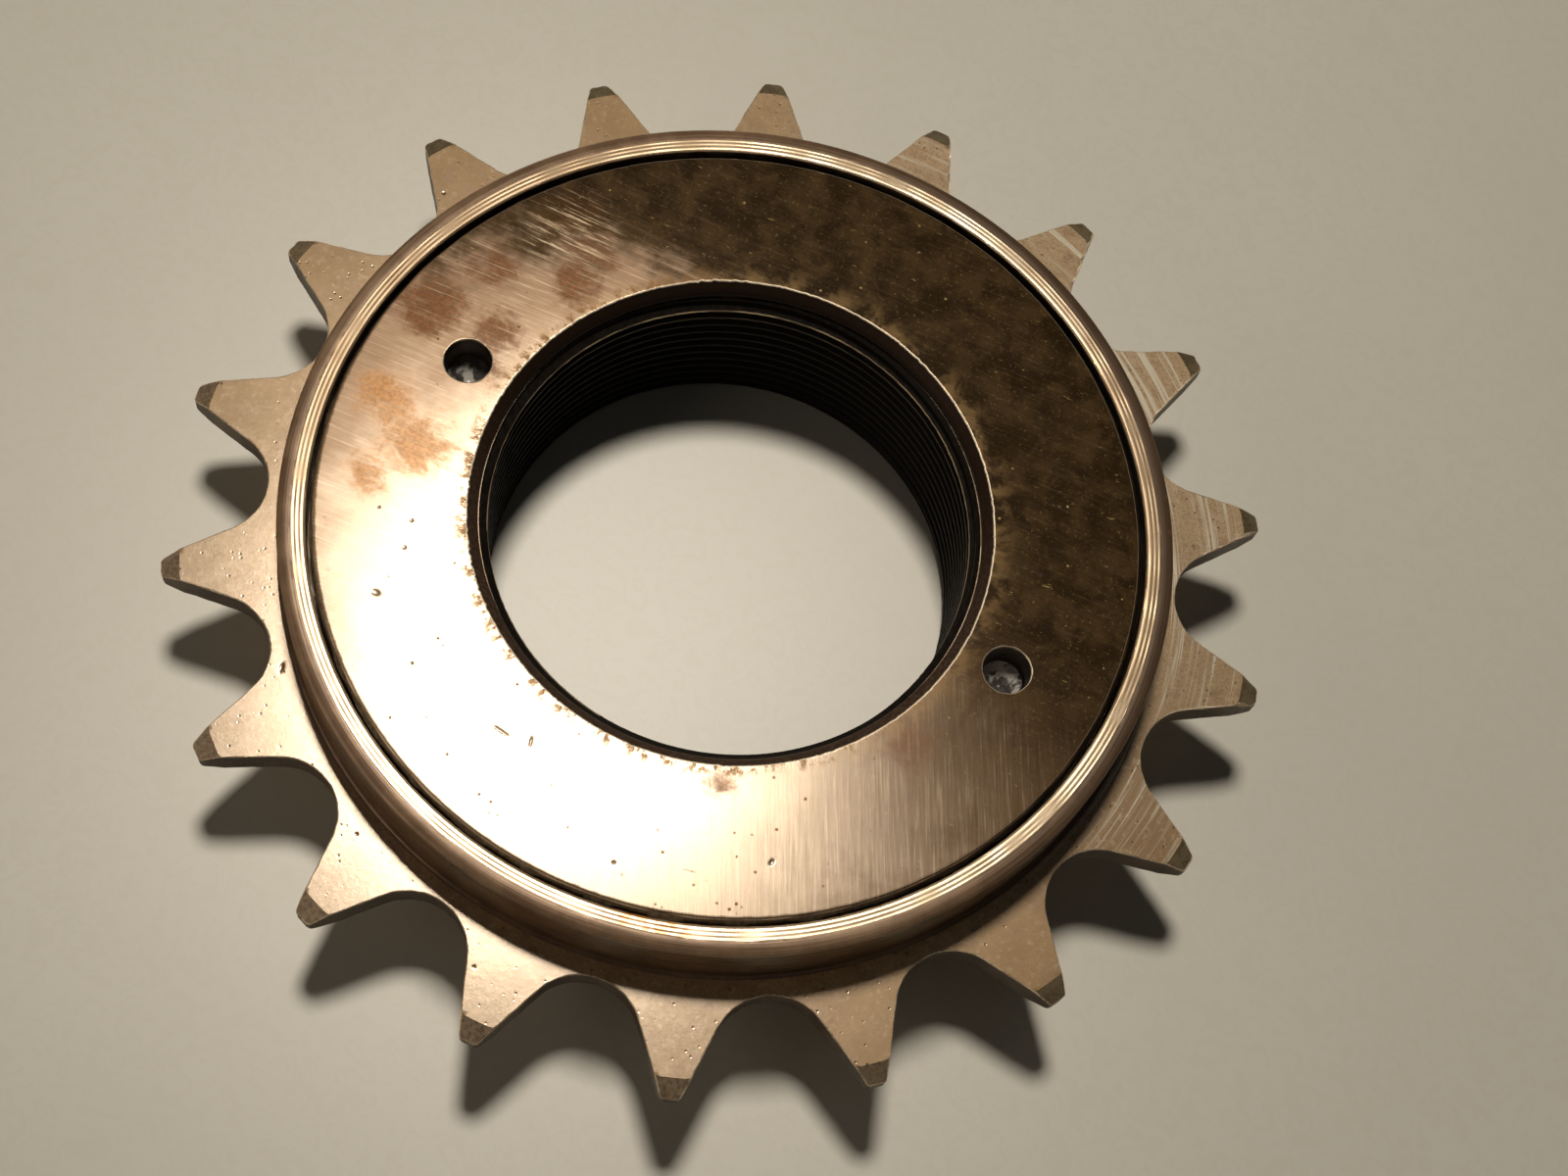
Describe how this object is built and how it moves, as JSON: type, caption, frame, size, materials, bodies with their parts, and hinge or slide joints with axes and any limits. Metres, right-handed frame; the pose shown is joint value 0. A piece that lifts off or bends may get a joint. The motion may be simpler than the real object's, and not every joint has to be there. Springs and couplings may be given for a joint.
{
  "type": "single-speed freewheel sprocket",
  "caption": "Toothed freewheel sprocket: a toothed shell turns one way on two ball rows around a threaded inner body, held by a bearing cone with pin-spanner holes.",
  "frame": {"origin": "centre of the hub thread, on the rear face that seats against the hub", "axes": "+Z along the axis of rotation, out of the hub, towards the cone's front face; +X through the centres of the two pin-spanner holes"},
  "size_m": [0.0786, 0.0786, 0.0145],
  "materials": {
    "shell_steel": "worn machined steel, satin, brown tarnish on the turned walls",
    "body_steel": "dark oiled steel, threaded bore",
    "cone_steel": "ground steel with rust and grease stains",
    "shim_steel": "bright strip steel",
    "pawl_steel": "hardened steel, oiled",
    "spring_steel": "blued spring steel",
    "ball_steel": "polished bearing steel under a film of grease"
  },
  "bodies": {
    "hub_body": {"inner_body": "body_steel", "bearing_cone": "cone_steel", "shim_1": "shim_steel", "shim_2": "shim_steel", "shim_3": "shim_steel", "pawl_spring_1": "spring_steel", "pawl_spring_2": "spring_steel"},
    "shell": {"toothed_shell": "shell_steel"},
    "first_pawl": {"pawl_1": "pawl_steel"},
    "second_pawl": {"pawl_2": "pawl_steel"},
    "front_ball_row": {"front_balls_1": "ball_steel", "front_balls_2": "ball_steel", "front_balls_3": "ball_steel", "front_balls_4": "ball_steel", "front_balls_5": "ball_steel"},
    "rear_ball_row": {"rear_balls_1": "ball_steel", "rear_balls_2": "ball_steel", "rear_balls_3": "ball_steel", "rear_balls_4": "ball_steel", "rear_balls_5": "ball_steel"}
  },
  "joints": [
    {"name": "shell_spin", "type": "hinge", "parent": "hub_body", "child": "shell", "pos_m": [0, 0, 0.0072], "axis": [0, 0, 1], "continuous": true},
    {"name": "front_row_orbit", "type": "hinge", "parent": "hub_body", "child": "front_ball_row", "pos_m": [0, 0, 0.0112], "axis": [0, 0, 1], "continuous": true},
    {"name": "rear_row_orbit", "type": "hinge", "parent": "hub_body", "child": "rear_ball_row", "pos_m": [0, 0, 0.0032], "axis": [0, 0, 1], "continuous": true},
    {"name": "first_pawl_lift", "type": "hinge", "parent": "hub_body", "child": "first_pawl", "pos_m": [0.01754, 0.01472, 0.007], "axis": [0, 0, -1], "range_deg": [0, 12], "stiffness_Nm_per_rad": 0.05, "springref_deg": 12},
    {"name": "second_pawl_lift", "type": "hinge", "parent": "hub_body", "child": "second_pawl", "pos_m": [-0.01754, -0.01472, 0.007], "axis": [0, 0, -1], "range_deg": [0, 12], "stiffness_Nm_per_rad": 0.05, "springref_deg": 12}
  ],
  "couplings": [
    {"joint": "front_row_orbit", "follows": "shell_spin", "ratio": 0.5207},
    {"joint": "rear_row_orbit", "follows": "shell_spin", "ratio": 0.5207}
  ]
}
